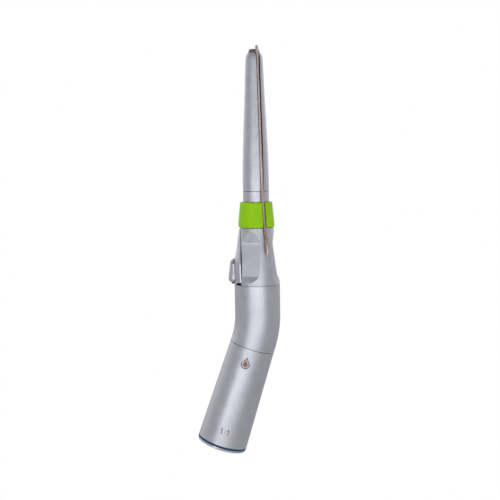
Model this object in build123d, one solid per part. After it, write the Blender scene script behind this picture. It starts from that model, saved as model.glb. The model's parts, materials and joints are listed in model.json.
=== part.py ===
from build123d import *
from math import atan2, cos, degrees, hypot, pi, radians, sin, sqrt, tan
import os

# Long-nose surgical handpiece with an 18 degree bend, in millimetres.
# The row frame has +Z along the nose, the bend in the XZ plane, and its origin
# where the motor socket opens in the rear face. Two working frames are used:
#   nose frame: origin at the seam between cone housing and elbow, +Z up the nose
#   rear frame: origin at the middle of the rear face, +Z up the rear axis

# ---- driving dimensions ----
bend = 18.0              # angle between the rear axis and the nose axis
knee_depth = 49.85       # rear face to the knee, where the two axes cross
knee_drop = 17.9         # cone housing seam down to the knee
bend_radius = 35.7       # radius of the elbow's centre line
rear_seam = 7.7          # knee back to the seam between elbow and rear sleeve
seam_gap = 0.16          # open width of that seam

shell_radius = 9.05      # elbow housing
shell_bore = 7.25
rear_radius = 10.05      # rear sleeve at its open end
ring_low = 1.03          # ratio ring, up from the rear face
ring_high = 1.88

nose_base = 37.0         # heights up the nose frame
nose_end = 90.85
tip_face = 92.35
collar_low = 22.8
collar_high = 32.7
housing_top = 22.6

slip = 0.02              # radial gap of parts that are pressed or glued together
run = 0.05               # radial gap of parts that slide or turn

shank_bore = 1.2         # guides a 2.35 mm bur shank
socket_bore = 4.8        # motor spigot socket
socket_length = 22.0

tube_radius = 0.6
tube_bore = 0.38
tube_azimuth = -62.5     # direction of the irrigation tube, from +X towards -Y
groove_width = 1.6

flat_turn = 109.3        # finger flats, from +X to either side

lever_plane = -6.45      # inner face of the chuck lever
lever_gap = 0.15
lever_low = 0.75         # at its outer edge; the bottom rises inwards
lever_rim = 0.4          # depth of the narrow flats along its sides
lever_top = 22.3
pivot_x = -5.9
pivot_z = 22.0
pivot_pin = 0.4
lug_radius = 0.7         # of the lever, about its pin
cam_reach = 1.85         # pivot to the middle of the cam nose
cam_drop = 0.4
cam_radius = 0.6
nail_depth = 2.4         # recess under the lever's free end
tab_axis = -9.1          # upright axis of the drop-shaped thumb tab
tab_top = 10.4
tab_foot = 0.3

spindle_radius = 3.0
spindle_nose = 2.5
spindle_tail = 2.0
spindle_bore = 1.95
spindle_top = 28.0
collet_radius = 1.9

gear_teeth = 16
gear_radius = 5.2        # pitch radius at the large end
gear_face = 1.6
backlash = 0.14

# ---- working frames ----
knee = Vector(knee_depth * sin(radians(bend)), 0, knee_depth * cos(radians(bend)))
nose_frame = Location((knee.X, 0, knee.Z + knee_drop))
rear_frame = Location((0, 0, 0), (0, bend, 0))
tube_plane = Rotation(0, 0, tube_azimuth)

nodes = {}


def in_nose(name, shape):
    """Store a piece that is drawn in the nose frame."""
    nodes[name] = nose_frame * shape


def in_rear(name, shape):
    """Store a piece that is drawn in the rear frame."""
    nodes[name] = rear_frame * shape


# ---- common shapes ----
def section(*lines):
    """Face in the XZ plane from joined lines that are drawn as (radius, height)."""
    return make_face([edge for line in lines for edge in (Plane.XZ * line).edges()])


def turned(*outline):
    """Solid turned about Z from a closed outline of (radius, height) corners."""
    return revolve(section(Polyline(*outline, close=True)), Axis.Z)


def ring(inner, outer, low, high):
    """Plain ring or tube about Z."""
    return turned((inner, low), (outer, low), (outer, high), (inner, high))


def rod(radius, low, high):
    """Plain round bar about Z."""
    return Pos(0, 0, low) * Cylinder(radius, high - low, align=(Align.CENTER, Align.CENTER, Align.MIN))


def cross_pin(radius, half_length, x, z):
    """Round bar along Y."""
    return Pos(x, 0, z) * Rotation(90, 0, 0) * Cylinder(radius, 2 * half_length)


def o_ring(major, minor, height):
    return Pos(0, 0, height) * Torus(major, minor)


def swept(path, radius):
    """Round bar along a smooth path."""
    return sweep(Plane(path @ 0, z_dir=path % 0) * Circle(radius), path=path)


def helical_spring(mean_radius, wire_radius, low, high, coils):
    """Compression spring about Z."""
    height = high - low - 2 * wire_radius
    coil = Helix(pitch=height / coils, height=height, radius=mean_radius)
    wire = sweep(Plane(coil @ 0, z_dir=coil % 0) * Circle(wire_radius), path=coil, is_frenet=True)
    return Pos(0, 0, low + wire_radius) * wire


def ball_bearing(name, place, inner, outer, width, ball, count, middle):
    """Deep groove bearing: two races, a ring cage with drilled pockets, and the balls."""
    pitch = (inner + outer) / 2
    shoulder = 0.57 * ball
    cage_half = 0.35 * ball
    track = Torus(pitch, ball + 0.04)
    outer_race = ring(pitch + shoulder, outer - slip, -width / 2, width / 2) - track
    inner_race = ring(inner + slip, pitch - shoulder, -width / 2, width / 2) - track
    spots = PolarLocations(pitch, count)
    balls = Compound([(spot * Sphere(ball)).solid() for spot in spots])
    cage = ring(pitch - cage_half, pitch + cage_half, -ball - 0.2, ball + 0.2)
    cage -= [spot * Rotation(0, 90, 0) * Cylinder(ball + 0.06, 4 * cage_half) for spot in spots]
    pieces = {"outer_race": outer_race, "inner_race": inner_race, "balls": balls, "cage": cage}
    for part, shape in pieces.items():
        place(f"{name}_{part}", Pos(0, 0, middle) * shape)


# ---- irrigation tube and the groove it lies in ----
tube_route = [(2.15, 93.7), (2.55, 90.6), (5.0, 38.5), (6.5, 23.6), (8.85, 17.2), (9.13, 12.6)]
tube_bends = [20, 60, 14, 10]


def tube_path():
    """Centre line of the tube in the XZ plane, nose frame."""
    return Plane.XZ * FilletPolyline(*tube_route, radius=tube_bends)


def tube_groove():
    """Cutter for a round-bottomed groove that opens outwards along the tube."""
    outer_edge = [(20, tube_route[-1][1]), (20, 100), (tube_route[0][0], 100)]
    slab = section(Polyline(*tube_route, *outer_edge, close=True))
    slab = extrude(slab, groove_width / 2, both=True)
    return tube_plane * (slab + swept(tube_path(), groove_width / 2))


def irrigation_tube():
    wall = swept(tube_path(), tube_radius)
    wall = chamfer(wall.edges().group_by(Axis.Z)[-1], 0.15)
    in_nose("irrigation_tube", tube_plane * (wall - swept(tube_path(), tube_bore)))


# ---- nose ----
def nose():
    groove = tube_groove()
    taper = Spline((5.2, 40), (4.97, 52), (4.4, 65.5), (3.9, 76), (3.47, 87), tangents=[(0, 1), (-0.055, 1)])
    shoulder = Spline((3.47, 87), (3.2, 89.6), (2.5, nose_end), tangents=[(-0.055, 1), (-1, 0.9)])
    lower = Polyline((2.5, nose_end), (0, nose_end), (0, 33.5), (4.0, 33.5), (4.0, nose_base),
                     (5.05, nose_base), (5.2, nose_base + 0.15), (5.2, 40))
    sleeve = revolve(section(taper, shoulder, lower), Axis.Z)
    sleeve -= rod(2.8, 33, 62.6)
    sleeve -= rod(1.75, 62, 87.5)
    sleeve -= rod(1.62, 87, nose_end + 1)
    in_nose("nose_sleeve", sleeve - groove)

    cap = turned((1.42, 87.6), (1.6, 87.6), (1.6, nose_end), (2.46, nose_end), (2.06, 91.85),
                 (2.0, tip_face - 0.15), (1.85, tip_face), (1.3, tip_face), (1.3, 92.15), (1.42, 92.15))
    in_nose("tip_cap", cap - groove)
    in_nose("tip_bush", ring(shank_bore, 1.4, 88.0, 92.13))

    base = turned((2.2, 28.5), (3.95, 28.5), (3.95, 31.5), (5.0, 31.5), (5.0, 32.8), (5.2, 32.8),
                  (5.2, nose_base - 0.15), (5.05, nose_base), (4.02, nose_base), (4.02, 33.4), (2.2, 33.4))
    base -= ring(3.3, 4.5, 29.55, 30.45)
    in_nose("nose_base_ring", base - groove)
    in_nose("nose_o_ring", o_ring(3.64, 0.33, 30.0))

    in_nose("lower_guide_tube", turned((1.45, 28.6), (2.15, 28.6), (2.15, 56), (2.75, 57), (2.75, 59.9),
                                       (2.3, 59.9), (1.45, 59.0)))
    in_nose("upper_guide_tube", turned((1.3, 62.7), (1.72, 62.7), (1.72, 87.3), (1.3, 87.3)))
    ball_bearing("nose_bearing", in_nose, 1.2, 2.8, 2.4, 0.4, 8, 61.2)


def colour_collar():
    flank = Spline((7.13, collar_low + 0.2), (7.06, 25.6), (6.76, 28.5), (6.57, 30.6), (6.43, collar_high - 0.2))
    rest = Polyline((6.43, collar_high - 0.2), (6.27, collar_high), (5.05, collar_high), (5.05, collar_low),
                    (6.95, collar_low), (7.13, collar_low + 0.2))
    body = revolve(section(flank, rest), Axis.Z)
    in_nose("colour_collar", body - tube_groove())


# ---- cone housing, its finger flats and the lever pocket ----
def flat_cutter():
    """Removes one finger flat, whose normal is +X, from the cone housing."""
    floor = FilletPolyline((9.1, 1.0), (7.95, 3.7), (6.2, 16.65), (6.94, 21.35), radius=[2, 4])
    outside = Polyline((6.94, 21.35), (12, 21.35), (12, 1.0), (9.1, 1.0))
    return extrude(section(floor, outside), 7, both=True)


def beyond(face_x, low, high):
    """Block that fills everything on the lever's side of a plane across X."""
    return Pos(face_x, 0, low) * Box(6, 20, high - low, align=(Align.MAX, Align.CENTER, Align.MIN))


def lever_spine(gap, low):
    """Rib down the middle of the lever's inner face, or with a gap the groove that takes it."""
    spine = Box(0.6 + gap, 2 * (0.6 + gap), pivot_z - 0.7 - low, align=(Align.MAX, Align.CENTER, Align.MIN))
    return Pos(lever_plane + 0.45 + gap, 0, low) * spine


def cone_housing():
    body = turned((0, -6.5), (7.2, -6.5), (7.2, 0), (shell_radius - 0.12, 0), (shell_radius, 0.12),
                  (6.8, housing_top), (5.0, housing_top), (5.0, 31.4), (0, 31.4))
    for turn in (0, flat_turn, -flat_turn):
        body -= Rotation(0, 0, turn) * flat_cutter()
    body -= rod(5.3, -7, 7.0)
    body -= rod(4.4, 6, 22.4)
    body -= rod(3.6, 22, 24)
    body -= rod(4.0, 23.0, 32)
    body -= ring(6.4, 8, -3.95, -3.05)
    pocket_face = lever_plane + lever_gap
    body -= beyond(pocket_face, -nail_depth, housing_top)
    swing = Polyline((pocket_face - 1, 22.27), (pocket_face, 22.27), (-5.95, 22.65), (pocket_face - 1, 22.65),
                     close=True)
    body -= extrude(section(swing), 10, both=True)
    body -= lever_spine(0.15, 0)
    body -= cross_pin(lug_radius + 0.1, 1.6, pivot_x, pivot_z)
    cam_room = cross_pin(cam_reach + cam_radius + 0.15, 1.35, pivot_x, pivot_z)
    body -= cam_room & Pos(pivot_x, 0, 22.55) * Box(8, 8, 8, align=(Align.CENTER, Align.CENTER, Align.MAX))
    body -= cross_pin(pivot_pin, 2.35, pivot_x, pivot_z)
    in_nose("cone_housing", body - tube_groove())
    in_nose("lever_pin", cross_pin(pivot_pin - slip, 2.3, pivot_x, pivot_z))
    in_nose("elbow_o_ring", o_ring(6.81, 0.4, -3.5))


def chuck_lever():
    """Arm that closes the pocket, thumb tab at its free end, cam nose by the pivot."""
    flank_points = [(6.93, 22.0), (7.42, 19), (7.88, 15), (8.5, 12), (8.98, 9.6), (9.1, 7.6)]
    flank = Spline(*flank_points, tangents=[(0.1, -1), (0, -1)])
    back = Polyline((9.1, 7.6), (9.1, lever_low + 0.2), (8.9, lever_low), (0, lever_low), (0, lever_top),
                    (6.6, lever_top), (6.93, 22.0))
    arm = revolve(section(flank, back), Axis.Z) & beyond(lever_plane, 0, lever_top)
    rim_points = [(sqrt(radius ** 2 - lever_plane ** 2) - lever_rim, height) for radius, height in flank_points]
    low_rim = rim_points[-1][0]
    rim = Polyline((low_rim, 7.6), (low_rim, 0), (0, 0), (0, lever_top), (2, lever_top), rim_points[0])
    half = extrude(section(Spline(*rim_points), rim), 12, both=True)
    arm &= Rotation(0, 0, 90) * half + Rotation(0, 0, -90) * half
    rise = Polyline((lever_plane + 1, 1.5), (-9.3, lever_low), (-9.3, 0), (lever_plane + 1, 0), close=True)
    arm -= extrude(section(rise), 10, both=True)
    outer = Spline((0, tab_top), (-0.65, 10.1), (-1.4, 9.35), (-1.75, 7.6), (-2.2, 3.9), (-2.3, 2.7),
                   (-1.85, 1.25), (-1.0, 0.5), (0, tab_foot), tangents=[(-1, -0.2), (1, 0)])
    drop = revolve(section(outer, Line((0, tab_foot), (0, tab_top))), Axis((0, 0, 0), (0, 0, -1)), 220)
    tab = Pos(tab_axis, 0, 0) * Rotation(0, 0, 110) * drop
    for side in (-1, 1):
        tab -= Pos(tab_axis - 0.33, side * 1.9, 8.95) * Box(0.45, 3, 1.5)
    lug = cross_pin(lug_radius, 1.5, pivot_x, pivot_z)
    neck = Pos(pivot_x, 0, pivot_z + 0.1) * Box(0.8, 3.0, 0.8, align=(Align.MAX, Align.CENTER, Align.MAX))
    cam_x = pivot_x + cam_reach
    cam_z = pivot_z - cam_drop
    cam = cross_pin(cam_radius, 1.2, cam_x, cam_z)
    web = Pos((pivot_x + cam_x) / 2, 0, (pivot_z + cam_z) / 2) * Box(cam_reach, 2.4, 1.0)
    hole = cross_pin(pivot_pin + run, 5, pivot_x, pivot_z)
    body = arm + lever_spine(0, 1.6) + lug + neck + cam + web - hole
    in_nose("chuck_lever", body + tab)


def release_mechanism():
    """Ring that the lever's cam pushes down, and the collar and pin that pull the collet back."""
    in_nose("release_ring", ring(3.15, 4.3, 18.2, pivot_z - cam_drop - cam_radius - run))
    pin = cross_pin(0.6, 4.3, 0, 17.0)
    in_nose("thrust_collar", ring(spindle_radius + run, 4.3, 16.0, 18.0) - pin)
    in_nose("collet_pin", cross_pin(0.6 - slip, 4.25, 0, 17.0))
    body = turned((0, 13.0), (collet_radius, 13.0), (collet_radius, 25.2), (1.5, 27.7), (1.3, 27.9), (0, 27.9))
    body -= rod(shank_bore, 18.2, 28)
    for turn in (30, 150, 270):
        body -= Rotation(0, 0, turn) * Pos(1.5, 0, 24) * Box(3, 0.3, 10)
    in_nose("collet", body - pin)
    in_nose("collet_spring", helical_spring(3.7, 0.33, 7.75, 15.95, 5))
    in_nose("spring_seat", ring(spindle_radius + slip, 4.25, 6.5, 7.6))


# ---- gear train ----
def bevel_gear(phase):
    """Straight bevel gear with its apex at the origin, its teeth down and its hub up."""
    half_angle = 90 - bend / 2
    length = gear_radius / sin(radians(half_angle))
    module = 2 * gear_radius / gear_teeth
    addendum = 0.8 * module
    dedendum = module
    tip_slope = tan(radians(90 - half_angle) - addendum / length)
    outer = gear_radius + 0.15
    inner = outer - gear_face
    blank = turned((2.02, 1.95), (inner, 1.95), (inner, inner * tip_slope), (outer, outer * tip_slope),
                   (outer, 3.6), (3.1, 3.6), (3.1, 4.6), (2.02, 4.6))
    half_space = pi * module / 4 + backlash / 2
    root_half = half_space - dedendum * tan(radians(20))
    reach = 2.0 * addendum
    mouth_half = half_space + reach * tan(radians(20))
    space = Polyline((-root_half, -dedendum), (root_half, -dedendum), (mouth_half, reach),
                     (-mouth_half, reach), close=True)

    def at(scale):
        pitch_point = Vector(sin(radians(half_angle)), 0, cos(radians(half_angle))) * (length * scale)
        away = (cos(radians(half_angle)), 0, -sin(radians(half_angle)))
        plane = Plane(pitch_point, x_dir=(0, 1, 0), z_dir=Vector(0, 1, 0).cross(Vector(*away)))
        return plane * space.scale(scale)

    cutter = loft([make_face(at(0.5)), make_face(at(1.2))], ruled=True)
    for tooth in range(gear_teeth):
        blank -= Rotation(0, 0, (tooth + phase) * 360 / gear_teeth) * cutter
    return blank


def front_spindle():
    body = turned((0, -15.85), (spindle_tail, -15.85), (spindle_tail, -10.05), (2.7, -10.05), (2.7, -8.5),
                  (spindle_radius, -8.5), (spindle_radius, 22.95), (spindle_nose, 22.95),
                  (spindle_nose, spindle_top), (0, spindle_top))
    bore = turned((0, 11.0), (spindle_bore, 11.0), (spindle_bore, 25.2), (1.55, 27.7), (1.55, 29), (0, 29))
    slot = Pos(0, 0, 16.35) * Box(1.3, 8, 2.7)
    in_nose("front_spindle", body - bore - slot)
    in_nose("front_bevel_gear", Pos(0, 0, -knee_drop) * bevel_gear(0.5))
    ball_bearing("knee_bearing", in_nose, 2.0, 4.5, 2.5, 0.7, 7, -11.35)
    ball_bearing("front_bearing", in_nose, 2.5, 4.0, 2.4, 0.45, 10, 24.25)
    in_nose("preload_washer", turned((3.0, 25.6), (3.95, 25.5), (3.95, 25.65), (3.0, 25.75)))
    in_nose("front_bearing_nut", ring(2.8, 3.97, 25.95, 28.2))
    in_nose("knee_bearing_carrier", turned((4.5, -13.1), (7.15, -13.1), (7.15, -6.7), (3.7, -6.7), (3.7, -10.0),
                                           (4.5, -10.0)))


def rear_train():
    def depth(from_knee):
        return knee_depth - from_knee

    flip = Pos(0, 0, knee_depth) * Rotation(180, 0, 0)
    in_rear("rear_bevel_gear", flip * bevel_gear(0))
    shaft = turned((0, depth(1.95)), (spindle_tail, depth(1.95)), (spindle_tail, depth(7.9)),
                   (2.7, depth(7.9)), (2.7, depth(12.9)), (spindle_tail, depth(12.9)),
                   (spindle_tail, depth(16.5)), (1.5, depth(16.5)), (1.5, depth(25.5)), (0, depth(25.5)))
    slot = Pos(0, 0, depth(23.05)) * Box(8, 1.0, 2.7)
    in_rear("rear_spindle", shaft - slot)
    ball_bearing("rear_bearing_1", in_rear, 2.0, 4.5, 2.5, 0.7, 7, depth(6.6))
    ball_bearing("rear_bearing_2", in_rear, 2.0, 4.5, 2.5, 0.7, 7, depth(14.2))
    carrier = turned((4.5, depth(5.0)), (7.15, depth(5.0)), (7.15, depth(17.5)), (4.5, depth(17.5)),
                     (4.5, depth(12.9)), (4.0, depth(12.9)), (4.0, depth(7.9)), (4.5, depth(7.9)))
    carrier -= ring(4, 4.9, depth(16.25), depth(15.6))
    in_rear("rear_bearing_carrier", carrier)
    clip = ring(3.7, 4.85, depth(16.2), depth(15.65))
    clip -= Pos(5, 0, depth(15.9)) * Box(6, 2.4, 2)
    in_rear("bearing_retaining_ring", clip)
    in_rear("dog_spring", helical_spring(1.98, 0.22, depth(21.1), depth(16.6), 5))
    pin = Pos(0, 0, depth(23.6)) * Rotation(0, 90, 0) * Cylinder(0.4, 5.2)
    dog = ring(1.5 + run, 2.6, depth(27.3), depth(21.2)) - pin
    dog -= Pos(0, 0, depth(27.3)) * Box(7, 1.3, 3)
    in_rear("drive_dog", dog)
    in_rear("dog_pin", Pos(0, 0, depth(23.6)) * Rotation(0, 90, 0) * Cylinder(0.38, 5.1))


# ---- elbow and rear sleeve ----
def elbow_path(top, bottom):
    """Centre line from a height above the knee to a distance behind it, nose frame."""
    back = Vector(-sin(radians(bend)), 0, -cos(radians(bend))) * bottom
    corner = (0, 0, -knee_drop)
    end = (back.X, 0, back.Z - knee_drop)
    return FilletPolyline((0, 0, top), corner, end, radius=bend_radius)


def elbow_housing():
    """Bent shell, with a recess in its top rim that gives a fingernail room under the lever."""
    end = rear_seam - seam_gap / 2
    outside = swept(elbow_path(0, end), shell_radius)
    outside = chamfer(outside.edges().filter_by(GeomType.CIRCLE).sort_by(Axis.Z)[-1], 0.12)
    outside = chamfer(outside.edges().filter_by(GeomType.CIRCLE).sort_by(Axis.Z)[0], 0.06)
    recess = rod(shell_radius - 0.45, -nail_depth, 1) & beyond(lever_plane + lever_gap, -nail_depth, 1)
    in_nose("elbow_housing", outside - swept(elbow_path(1, end + 1), shell_bore) - recess)


def rear_end():
    seam = knee_depth - rear_seam - seam_gap / 2
    in_rear("rear_sleeve", turned((7.05, ring_low), (8.88, ring_low), (8.88, ring_high + slip),
                                  (rear_radius, ring_high + slip), (shell_radius, seam - 0.06),
                                  (shell_radius - 0.06, seam), (7.2, seam), (7.2, 30.5), (7.05, 30.5)))
    in_rear("ratio_ring", ring(8.9, rear_radius - 0.03, ring_low, ring_high))
    insert = turned((socket_bore + 0.3, 0), (9.4, 0), (9.75, 0.12), (9.95, 0.45), (9.95, ring_low - slip),
                    (7.0, ring_low - slip), (7.0, 28.5), (4.4, 28.5), (4.4, socket_length + 1.6),
                    (5.3, socket_length + 1.6), (5.3, socket_length), (socket_bore, socket_length),
                    (socket_bore, 0.3))
    insert -= ring(6.3, 7.5, 19.55, 20.45)
    in_rear("coupling_insert", insert)
    in_rear("rear_o_ring", o_ring(6.66, 0.35, 20.0))


nose()
colour_collar()
cone_housing()
chuck_lever()
release_mechanism()
front_spindle()
rear_train()
elbow_housing()
rear_end()
irrigation_tube()

os.makedirs("parts", exist_ok=True)
for node, piece in nodes.items():
    export_step(piece, f"parts/{node}.step")
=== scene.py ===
import json
from math import cos, pi, radians, sin

import bmesh
import bpy
from mathutils import Matrix, Vector
from mathutils.bvhtree import BVHTree

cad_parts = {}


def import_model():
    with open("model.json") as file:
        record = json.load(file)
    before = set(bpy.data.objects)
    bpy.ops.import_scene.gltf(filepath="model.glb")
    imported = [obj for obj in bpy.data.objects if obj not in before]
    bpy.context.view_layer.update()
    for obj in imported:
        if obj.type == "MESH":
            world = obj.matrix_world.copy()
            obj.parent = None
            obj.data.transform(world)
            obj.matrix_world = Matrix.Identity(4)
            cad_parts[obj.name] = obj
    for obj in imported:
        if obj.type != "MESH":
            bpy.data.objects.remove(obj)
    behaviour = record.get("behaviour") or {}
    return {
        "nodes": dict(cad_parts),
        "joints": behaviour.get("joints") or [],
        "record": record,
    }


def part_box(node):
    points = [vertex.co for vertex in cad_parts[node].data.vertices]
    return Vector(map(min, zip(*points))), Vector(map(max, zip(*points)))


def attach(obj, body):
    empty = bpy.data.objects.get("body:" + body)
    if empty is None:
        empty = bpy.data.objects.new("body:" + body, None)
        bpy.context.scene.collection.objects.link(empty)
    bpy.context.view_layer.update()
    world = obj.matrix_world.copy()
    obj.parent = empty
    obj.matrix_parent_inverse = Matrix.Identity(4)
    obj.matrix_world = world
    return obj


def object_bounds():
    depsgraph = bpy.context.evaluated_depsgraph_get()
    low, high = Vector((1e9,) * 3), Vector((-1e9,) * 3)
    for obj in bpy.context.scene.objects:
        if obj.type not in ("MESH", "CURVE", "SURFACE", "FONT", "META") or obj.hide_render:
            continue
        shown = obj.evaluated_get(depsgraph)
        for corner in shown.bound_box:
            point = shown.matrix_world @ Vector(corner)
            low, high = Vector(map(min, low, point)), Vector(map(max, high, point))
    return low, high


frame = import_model()
cad_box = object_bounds()

MM = 0.001

# Places read from the frame: the rear axis, the nose axis, and where cone and elbow meet.
REAR_SPINDLE = {joint["name"]: joint for joint in frame["joints"]}["rear_spindle_spin"]
REAR_AXIS = Vector(REAR_SPINDLE["axis"]).normalized()
REAR_ACROSS = Vector((REAR_AXIS.z, 0, -REAR_AXIS.x))
NOSE_X = Vector(REAR_SPINDLE["pos_m"]).x
SEAM_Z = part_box("elbow_housing")[1].z
MIDDLE = Vector((NOSE_X, 0, SEAM_Z))


# ---------------------------------------------------------------- material helpers
def new_material(name):
    material = bpy.data.materials.new(name)
    material.use_nodes = True
    tree = material.node_tree
    tree.nodes.clear()
    output = tree.nodes.new("ShaderNodeOutputMaterial")
    shader = tree.nodes.new("ShaderNodeBsdfPrincipled")
    tree.links.new(shader.outputs[0], output.inputs[0])
    return material, tree, shader


def node(tree, kind, **settings):
    """Adds a node. Settings name its properties, or its input sockets."""
    made = tree.nodes.new(kind)
    for key, value in settings.items():
        if hasattr(made, key):
            setattr(made, key, value)
        else:
            made.inputs[key.replace("_", " ")].default_value = value
    return made


def object_coordinates(tree, scale=(1, 1, 1)):
    coordinates = node(tree, "ShaderNodeTexCoord")
    mapping = node(tree, "ShaderNodeMapping")
    mapping.inputs["Scale"].default_value = scale
    tree.links.new(coordinates.outputs["Object"], mapping.inputs["Vector"])
    return mapping.outputs[0]


def noise(tree, vector, scale, detail=2.0, roughness=0.5):
    made = node(tree, "ShaderNodeTexNoise", Scale=scale, Detail=detail, Roughness=roughness)
    tree.links.new(vector, made.inputs["Vector"])
    return made.outputs["Fac"]


def remap(tree, value, low, high, start=0.0, end=1.0):
    made = node(tree, "ShaderNodeMapRange")
    tree.links.new(value, made.inputs["Value"])
    for socket, number in (("From Min", start), ("From Max", end), ("To Min", low), ("To Max", high)):
        made.inputs[socket].default_value = number
    return made.outputs["Result"]


def blend_colours(tree, factor, first, second):
    made = node(tree, "ShaderNodeMix", data_type="RGBA")
    tree.links.new(factor, made.inputs["Factor"])
    for socket, colour in (("A", first), ("B", second)):
        place = [i for i in made.inputs if i.name == socket and i.type == "RGBA"][0]
        if isinstance(colour, (tuple, list)):
            place.default_value = (*colour, 1)
        else:
            tree.links.new(colour, place)
    return [o for o in made.outputs if o.type == "RGBA"][0]


def math_node(tree, operation, first, second=None):
    made = node(tree, "ShaderNodeMath", operation=operation)
    for socket, value in zip(made.inputs, (first, second)):
        if value is None:
            continue
        if isinstance(value, (int, float)):
            socket.default_value = value
        else:
            tree.links.new(value, socket)
    return made.outputs[0]


def bump(tree, height, strength, distance, normal=None):
    made = node(tree, "ShaderNodeBump", Strength=strength, Distance=distance)
    tree.links.new(height, made.inputs["Height"])
    if normal is not None:
        tree.links.new(normal, made.inputs["Normal"])
    return made.outputs["Normal"]


def edge_mask(tree, radius):
    """One on sharp edges and zero on open faces, from how far a rounded normal turns."""
    rounded = node(tree, "ShaderNodeBevel", samples=6, Radius=radius)
    geometry = node(tree, "ShaderNodeNewGeometry")
    dot = node(tree, "ShaderNodeVectorMath", operation="DOT_PRODUCT")
    tree.links.new(rounded.outputs["Normal"], dot.inputs[0])
    tree.links.new(geometry.outputs["Normal"], dot.inputs[1])
    return remap(tree, dot.outputs["Value"], 1.0, 0.0, 0.8, 0.995)


def crevice_mask(tree, distance):
    """One deep in seams, grooves and holes, and zero in the open."""
    occlusion = node(tree, "ShaderNodeAmbientOcclusion", samples=6, Distance=distance)
    return remap(tree, occlusion.outputs["AO"], 1.0, 0.0, 0.35, 0.92)


# ---------------------------------------------------------------- materials
CREVICE_SHADE = (0.045, 0.042, 0.043)    # painted shade for seams, grooves and holes


def blasted_steel(name, dark, light, edge_highlight, roughness=0.40):
    """Bead-blasted metal: a fine matt grain, faint handling marks, a painted highlight along sharp edges,
    and painted shade in seams and grooves.
    """
    material, tree, shader = new_material(name)
    vector = object_coordinates(tree)
    grain = noise(tree, vector, 5200, 3.0, 0.6)
    mottle = noise(tree, vector, 260, 4.0, 0.6)
    cloud = noise(tree, vector, 60, 2.0)
    edges = edge_mask(tree, 0.00022)
    colour = blend_colours(tree, remap(tree, mottle, 0, 1, 0.3, 0.7), dark, light)
    colour = blend_colours(tree, remap(tree, grain, 0, 0.5, 0.45, 0.8), colour, light)
    # Painted highlight: sharp edges lightened towards the highlight colour.
    colour = blend_colours(tree, math_node(tree, "MULTIPLY", edges, 0.6), colour, edge_highlight)
    # Painted shade: seams, grooves and holes darkened nearly to black.
    painted_shade = math_node(tree, "MULTIPLY", crevice_mask(tree, 0.0006), remap(tree, mottle, 0.85, 1.0, 0.3, 0.7))
    colour = blend_colours(tree, painted_shade, colour, CREVICE_SHADE)
    tree.links.new(colour, shader.inputs["Base Color"])
    rough = math_node(tree, "ADD", remap(tree, grain, -0.04, 0.05, 0.3, 0.7),
                      remap(tree, cloud, roughness - 0.02, roughness + 0.03, 0.3, 0.7))
    rough = math_node(tree, "SUBTRACT", rough, math_node(tree, "MULTIPLY", edges, 0.1))
    tree.links.new(rough, shader.inputs["Roughness"])
    normal = bump(tree, grain, 0.25, 0.00004)
    tree.links.new(bump(tree, mottle, 0.08, 0.0002, normal), shader.inputs["Normal"])
    shader.inputs["Metallic"].default_value = 1.0
    return material


def turned_metal(name, dark, light, roughness=0.22, ring_scale=2600):
    """Machined metal with fine turning lines along its height."""
    material, tree, shader = new_material(name)
    lines = noise(tree, object_coordinates(tree, (0.02, 0.02, 1)), ring_scale, 3.0, 0.7)
    stain = noise(tree, object_coordinates(tree), 300, 3.0)
    colour = blend_colours(tree, remap(tree, stain, 0, 1, 0.3, 0.7), dark, light)
    tree.links.new(colour, shader.inputs["Base Color"])
    rough = remap(tree, lines, roughness - 0.06, roughness + 0.08, 0.3, 0.7)
    tree.links.new(rough, shader.inputs["Roughness"])
    tree.links.new(bump(tree, lines, 0.2, 0.00003), shader.inputs["Normal"])
    shader.inputs["Metallic"].default_value = 1.0
    return material


def moulded_plastic(name, dark, light, roughness=0.42, grain_scale=3000):
    """Moulded plastic with a fine spark-eroded skin, a slight shift of tone, and a painted highlight along
    its edges.
    """
    material, tree, shader = new_material(name)
    vector = object_coordinates(tree)
    grain = noise(tree, vector, grain_scale, 2.0)
    cloud = noise(tree, vector, 120, 3.0)
    edges = edge_mask(tree, 0.0003)
    colour = blend_colours(tree, remap(tree, cloud, 0, 1, 0.3, 0.7), dark, light)
    # Painted highlight: edges lightened towards the light tone.
    colour = blend_colours(tree, math_node(tree, "MULTIPLY", edges, 0.35), colour, light)
    tree.links.new(colour, shader.inputs["Base Color"])
    rough = remap(tree, grain, roughness - 0.05, roughness + 0.08, 0.3, 0.7)
    tree.links.new(rough, shader.inputs["Roughness"])
    tree.links.new(bump(tree, grain, 0.15, 0.00004), shader.inputs["Normal"])
    shader.inputs["Specular IOR Level"].default_value = 0.22
    return material


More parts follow.
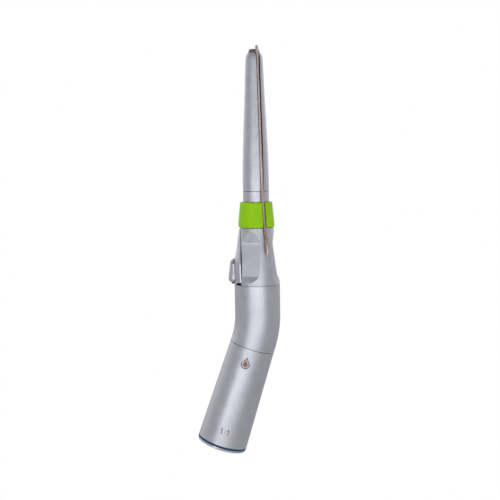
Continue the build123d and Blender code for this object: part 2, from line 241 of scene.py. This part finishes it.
def drawn_tube(name):
    """Heat-tinted drawn tube: a reddish skin with lines along its length, a bare grey outlet, painted shade
    towards its lower end, and painted shade in seams and grooves.
    """
    material, tree, shader = new_material(name)
    lines = noise(tree, object_coordinates(tree, (1, 1, 0.03)), 3500, 3.0, 0.6)
    tint = noise(tree, object_coordinates(tree), 90, 3.0)
    colour = blend_colours(tree, remap(tree, tint, 0, 1, 0.3, 0.7), (0.60, 0.45, 0.385), (0.80, 0.63, 0.56))
    coordinates = node(tree, "ShaderNodeTexCoord")
    split = node(tree, "ShaderNodeSeparateXYZ")
    tree.links.new(coordinates.outputs["Generated"], split.inputs[0])
    height = math_node(tree, "ADD", split.outputs["Z"], remap(tree, tint, -0.01, 0.01, 0.3, 0.7))
    colour = blend_colours(tree, remap(tree, height, 0, 1, 0.965, 0.985), colour, (0.62, 0.61, 0.63))
    # Painted shade: the lower part of the tube darkened, most at its end.
    colour = blend_colours(tree, remap(tree, height, 0.5, 0, 0.0, 0.22), colour, (0.36, 0.27, 0.235))
    # Painted shade: seams and grooves darkened.
    painted_shade = math_node(tree, "MULTIPLY", crevice_mask(tree, 0.0005), 0.6)
    tree.links.new(blend_colours(tree, painted_shade, colour, CREVICE_SHADE), shader.inputs["Base Color"])
    tree.links.new(remap(tree, lines, 0.20, 0.36, 0.3, 0.7), shader.inputs["Roughness"])
    tree.links.new(bump(tree, lines, 0.15, 0.00002), shader.inputs["Normal"])
    shader.inputs["Metallic"].default_value = 1.0
    return material


def rubber(name):
    """Black seal rubber with a fine grain."""
    material, tree, shader = new_material(name)
    vector = object_coordinates(tree)
    grain = noise(tree, vector, 4000, 2.0)
    colour = blend_colours(tree, noise(tree, vector, 300), (0.012, 0.012, 0.013), (0.03, 0.03, 0.032))
    tree.links.new(colour, shader.inputs["Base Color"])
    tree.links.new(remap(tree, grain, 0.45, 0.65), shader.inputs["Roughness"])
    tree.links.new(bump(tree, grain, 0.1, 0.00003), shader.inputs["Normal"])
    return material


MATERIALS = {
    # The third colour of each blasted steel is the painted highlight along its edges.
    "satin_steel": blasted_steel("blasted_steel", (0.58, 0.585, 0.62), (0.66, 0.665, 0.70),
                                 (0.80, 0.80, 0.83)),
    "dark_steel": blasted_steel("dark_blasted_steel", (0.26, 0.22, 0.215), (0.34, 0.29, 0.28),
                                (0.5, 0.45, 0.43)),
    "bright_steel": turned_metal("bright_steel", (0.66, 0.66, 0.69), (0.78, 0.78, 0.80), 0.20),
    "tube_steel": drawn_tube("tinted_tube"),
    "green_plastic": moulded_plastic("green_plastic", (0.37, 0.78, 0.001), (0.43, 0.87, 0.003)),
    "blue_ring": moulded_plastic("blue_ring", (0.004, 0.055, 0.13), (0.010, 0.085, 0.19), 0.35),
    "bearing_steel": turned_metal("bearing_steel", (0.62, 0.62, 0.64), (0.74, 0.74, 0.76), 0.12),
    "gear_steel": turned_metal("gear_steel", (0.42, 0.42, 0.45), (0.55, 0.55, 0.58), 0.28),
    "spring_steel": turned_metal("spring_steel", (0.48, 0.48, 0.5), (0.62, 0.62, 0.64), 0.25),
    "bronze": turned_metal("bronze", (0.50, 0.32, 0.13), (0.66, 0.45, 0.20), 0.26),
    "cage_resin": moulded_plastic("cage_resin", (0.16, 0.10, 0.05), (0.24, 0.15, 0.08), 0.5),
    "seal_rubber": rubber("seal_rubber"),
}


def dress_nodes():
    """Gives every CAD node the material of its slot in the record."""
    for part in frame["record"]["subparts"]:
        mesh = frame["nodes"][part["node"]].data
        mesh.materials.clear()
        mesh.materials.append(MATERIALS[part["material_slot"]])


dress_nodes()


# ---------------------------------------------------------------- generic marks on the rear sleeve
MARK_LIFT = 0.006 * MM          # prints stand this far off the sleeve
SLEEVE_FOOT_RADIUS = 10.05      # of the rear sleeve, in millimetres
SLEEVE_RUN = 42.1               # the sleeve narrows by 1 mm in radius over this height
PROBE_START = 0.03              # well outside the sleeve, in metres
DROP_PLACE = (35.9, -5.9)       # millimetres up the rear axis, degrees round from the front
RATIO_PLACE = (7.9, -4.2)


def arc(centre, radius, start, end, steps):
    """Points on a circle, with angles in degrees."""
    angles = [radians(start + (end - start) * i / steps) for i in range(steps + 1)]
    return [(centre[0] + radius * cos(angle), centre[1] + radius * sin(angle)) for angle in angles]


def drop_outline(width, height):
    """A falling drop: round below, drawn to a point above."""
    radius = width / 2
    lower = arc((0, 0), radius, 20, -200, 28)
    tip = (0, height - radius)
    left = lower[-1]
    flank = [(left[0] * (1 - t) ** 1.35, left[1] + (tip[1] - left[1]) * t) for t in (0.2, 0.4, 0.6, 0.8)]
    return lower + flank + [tip] + [(-x, y) for x, y in reversed(flank)]


def band(outer, inner):
    """Quads between two outlines of equally many points."""
    count = len(outer)
    return [[outer[i], outer[(i + 1) % count], inner[(i + 1) % count], inner[i]] for i in range(count)]


def fan(outline, centre, rings=4):
    """Cells that fill an outline around a centre, small enough to follow the curved sleeve."""
    cells = []
    levels = [[(centre[0] + (x - centre[0]) * k / rings, centre[1] + (y - centre[1]) * k / rings)
               for x, y in outline] for k in range(1, rings + 1)]
    for inner, outer in zip(levels, levels[1:]):
        cells += band(outer, inner)
    core = levels[0]
    cells += [[core[i], core[(i + 1) % len(core)], centre] for i in range(len(core))]
    return cells


def bar(low, high, steps=6):
    """Upright rectangle cut into short cells."""
    edges = [low[1] + (high[1] - low[1]) * i / steps for i in range(steps + 1)]
    return [[(low[0], a), (high[0], a), (high[0], b), (low[0], b)] for a, b in zip(edges, edges[1:])]


def sleeve_radius(height):
    """Radius of the rear sleeve in metres at a height in millimetres up the rear axis."""
    return (SLEEVE_FOOT_RADIUS - height / SLEEVE_RUN) * MM


def printed_mark(name, place, cells, material):
    """Thin print that follows the rear sleeve, from flat cells in millimetres."""
    height, turn = place
    sleeve = BVHTree.FromObject(frame["nodes"]["rear_sleeve"], bpy.context.evaluated_depsgraph_get())
    to_world = frame["nodes"]["rear_sleeve"].matrix_world
    to_local = to_world.inverted()
    build = bmesh.new()
    for cell in cells:
        corners = []
        for across, along in cell:
            angle = radians(turn) + across * MM / sleeve_radius(height)
            outward = REAR_ACROSS * sin(angle) + Vector((0, -1, 0)) * cos(angle)
            foot = REAR_AXIS * (height * MM + along * MM)
            start = to_local @ (foot + outward * PROBE_START)
            hit = sleeve.ray_cast(start, (to_local.to_3x3() @ -outward).normalized())[0]
            corners.append(build.verts.new((to_world @ hit) + outward * MARK_LIFT))
        build.faces.new(corners)
    bmesh.ops.remove_doubles(build, verts=build.verts, dist=1e-7)
    bmesh.ops.recalc_face_normals(build, faces=build.faces)
    mesh = bpy.data.meshes.new(name)
    build.to_mesh(mesh)
    build.free()
    for face in mesh.polygons:
        face.use_smooth = True
    mesh.materials.append(material)
    mark = bpy.data.objects.new(name, mesh)
    bpy.context.scene.collection.objects.link(mark)
    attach(mark, "housing")


def printed_ink(name, dark, light):
    """Laser-burnt mark: matt, slightly uneven, letting the blasted grain through."""
    material, tree, shader = new_material(name)
    vector = object_coordinates(tree)
    grain = noise(tree, vector, 4200, 3.0, 0.6)
    fade = noise(tree, vector, 900, 3.0)
    colour = blend_colours(tree, remap(tree, grain, 0, 1, 0.35, 0.65), dark, light)
    tree.links.new(colour, shader.inputs["Base Color"])
    tree.links.new(remap(tree, fade, 0.42, 0.62, 0.3, 0.7), shader.inputs["Roughness"])
    tree.links.new(bump(tree, grain, 0.2, 0.00003), shader.inputs["Normal"])
    shader.inputs["Metallic"].default_value = 0.35
    return material


def one_to_one():
    """Cells of the ratio 1:1, each figure with a flag and a foot."""
    half_stroke, half_height = 0.17, 1.05
    cells = []
    for centre in (-1.35, 1.35):
        left = centre - half_stroke
        cells += bar((left, -half_height), (centre + half_stroke, half_height))
        cells += [[(left, half_height), (centre - 0.65, 0.55), (centre - 0.65, 0.2), (left, 0.62)]]
        cells += bar((centre - 0.55, -half_height), (centre + 0.55, -0.78), 1)
    for height in (-0.5, 0.4):
        cells += fan(arc((0, height), 0.22, 0, 330, 11), (0, height), 2)
    return cells


def marks():
    """A water drop in an outline, and the 1:1 gear ratio, both generic."""
    dark_ink = printed_ink("dark_ink", (0.03, 0.026, 0.045), (0.08, 0.072, 0.10))
    red_ink = printed_ink("red_ink", (0.34, 0.12, 0.08), (0.50, 0.22, 0.16))
    outer = drop_outline(3.5, 4.9)
    inner = [(x * 0.78, y * 0.78) for x, y in outer]
    printed_mark("drop_outline_mark", DROP_PLACE, band(outer, inner), dark_ink)
    core = [(x * 0.6, y * 0.6) for x, y in outer]
    printed_mark("drop_mark", DROP_PLACE, fan(core, (0, 0)), red_ink)
    printed_mark("ratio_mark", RATIO_PLACE, one_to_one(), red_ink)


marks()


# ---------------------------------------------------------------- stage
FRONT_LIGHT = 0.54              # what the room gives the object from the front and sides
BACK_LIGHT = 1.25
OVERHEAD_SHARE = 0.70           # the room straight overhead, as a share of its walls
ROOM_TINT = (0.945, 0.935, 1.0, 1)
LIGHT_TINT = (0.955, 1.0, 1.03)
FLOOR_DROP = 0.06               # the floor lies this far below the object, in metres
FLOOR_HALF_SIZE = 3.0


def white_to_camera(tree, shader_socket, output):
    """Shows plain white to the camera, and the given shader to everything else."""
    on_a_surface = output.bl_idname == "ShaderNodeOutputMaterial"
    white = node(tree, "ShaderNodeEmission" if on_a_surface else "ShaderNodeBackground")
    white.inputs["Color"].default_value = (1, 1, 1, 1)
    white.inputs["Strength"].default_value = 1.0
    mix = node(tree, "ShaderNodeMixShader")
    path = node(tree, "ShaderNodeLightPath")
    tree.links.new(path.outputs["Is Camera Ray"], mix.inputs[0])
    tree.links.new(shader_socket, mix.inputs[1])
    tree.links.new(white.outputs[0], mix.inputs[2])
    tree.links.new(mix.outputs[0], output.inputs[0])


def stage():
    """Pale floor well below the object, as bright as the backdrop so that no horizon shows."""
    floor_mesh = bpy.data.meshes.new("floor")
    build = bmesh.new()
    bmesh.ops.create_grid(build, x_segments=8, y_segments=8, size=FLOOR_HALF_SIZE)
    build.to_mesh(floor_mesh)
    build.free()
    floor = bpy.data.objects.new("floor", floor_mesh)
    floor.location.z = cad_box[0][2] - FLOOR_DROP
    bpy.context.scene.collection.objects.link(floor)
    material, tree, shader = new_material("pale_floor")
    tint = noise(tree, object_coordinates(tree), 3, 2)
    colour = blend_colours(tree, tint, (0.50, 0.50, 0.51), (0.52, 0.52, 0.53))
    tree.links.new(colour, shader.inputs["Base Color"])
    shader.inputs["Roughness"].default_value = 0.9
    shader.inputs["Emission Color"].default_value = (1, 1, 1, 1)
    shader.inputs["Emission Strength"].default_value = 0.15
    output = [made for made in tree.nodes if made.bl_idname == "ShaderNodeOutputMaterial"][0]
    white_to_camera(tree, shader.outputs[0], output)
    floor_mesh.materials.append(material)


def world():
    """A soft grey room, darker overhead, that the camera sees as plain white."""
    made = bpy.data.worlds.new("studio")
    bpy.context.scene.world = made
    made.use_nodes = True
    tree = made.node_tree
    tree.nodes.clear()
    output = node(tree, "ShaderNodeOutputWorld")
    background = node(tree, "ShaderNodeBackground")
    background.inputs["Color"].default_value = ROOM_TINT
    coordinates = node(tree, "ShaderNodeTexCoord")
    split = node(tree, "ShaderNodeSeparateXYZ")
    tree.links.new(coordinates.outputs["Generated"], split.inputs[0])
    walls = remap(tree, split.outputs["Y"], FRONT_LIGHT, BACK_LIGHT, 0.0, 1.0)
    height = remap(tree, split.outputs["Z"], 1.0, OVERHEAD_SHARE, 0.0, 1.0)
    tree.links.new(math_node(tree, "MULTIPLY", walls, height), background.inputs["Strength"])
    white_to_camera(tree, background.outputs[0], output)


def area_light(name, place, target, size, radiance, colour=(1, 1, 1)):
    """Rectangular soft light of a given radiance, aimed at a point."""
    data = bpy.data.lights.new(name, "AREA")
    data.shape = "RECTANGLE"
    data.size, data.size_y = size
    data.energy = radiance * pi * size[0] * size[1]
    data.color = colour
    light = bpy.data.objects.new(name, data)
    light.location = place
    light.rotation_euler = (Vector(target) - Vector(place)).to_track_quat("-Z", "Y").to_euler()
    bpy.context.scene.collection.objects.link(light)


def around(distance, left, up):
    """Place at a distance from the middle of the object, in degrees left of the front and above level."""
    flat, rise = distance * cos(radians(up)), distance * sin(radians(up))
    return MIDDLE + Vector((-flat * sin(radians(left)), -flat * cos(radians(left)), rise))


CAMERA_DISTANCE = 396.6 * MM
CAMERA_LEFT = 2.7 * MM          # camera stands this far to the -X side of the nose axis
CAMERA_ABOVE_SEAM = 52.2 * MM
CAMERA_PITCH = 5.56
CAMERA_ROLL = -0.86
LENS = 72.0


def camera():
    data = bpy.data.cameras.new("camera")
    data.lens = LENS
    data.sensor_width = 36.0
    data.clip_start = 0.01
    made = bpy.data.objects.new("camera", data)
    place = Vector((NOSE_X - CAMERA_LEFT, -CAMERA_DISTANCE, SEAM_Z + CAMERA_ABOVE_SEAM))
    pitch = Matrix.Rotation(radians(90 - CAMERA_PITCH), 4, "X")
    roll = Matrix.Rotation(radians(CAMERA_ROLL), 4, "Z")
    made.matrix_world = Matrix.Translation(place) @ pitch @ roll
    bpy.context.scene.collection.objects.link(made)
    bpy.context.scene.camera = made


stage()
world()
camera()
area_light("low_left_softbox", around(0.7, 52, -30), MIDDLE, (0.36, 0.34), 2.2, LIGHT_TINT)
area_light("front_softbox", around(0.75, 3, -24), MIDDLE, (1.22, 0.66), 3.1, LIGHT_TINT)
bpy.context.scene.view_settings.view_transform = "Standard"
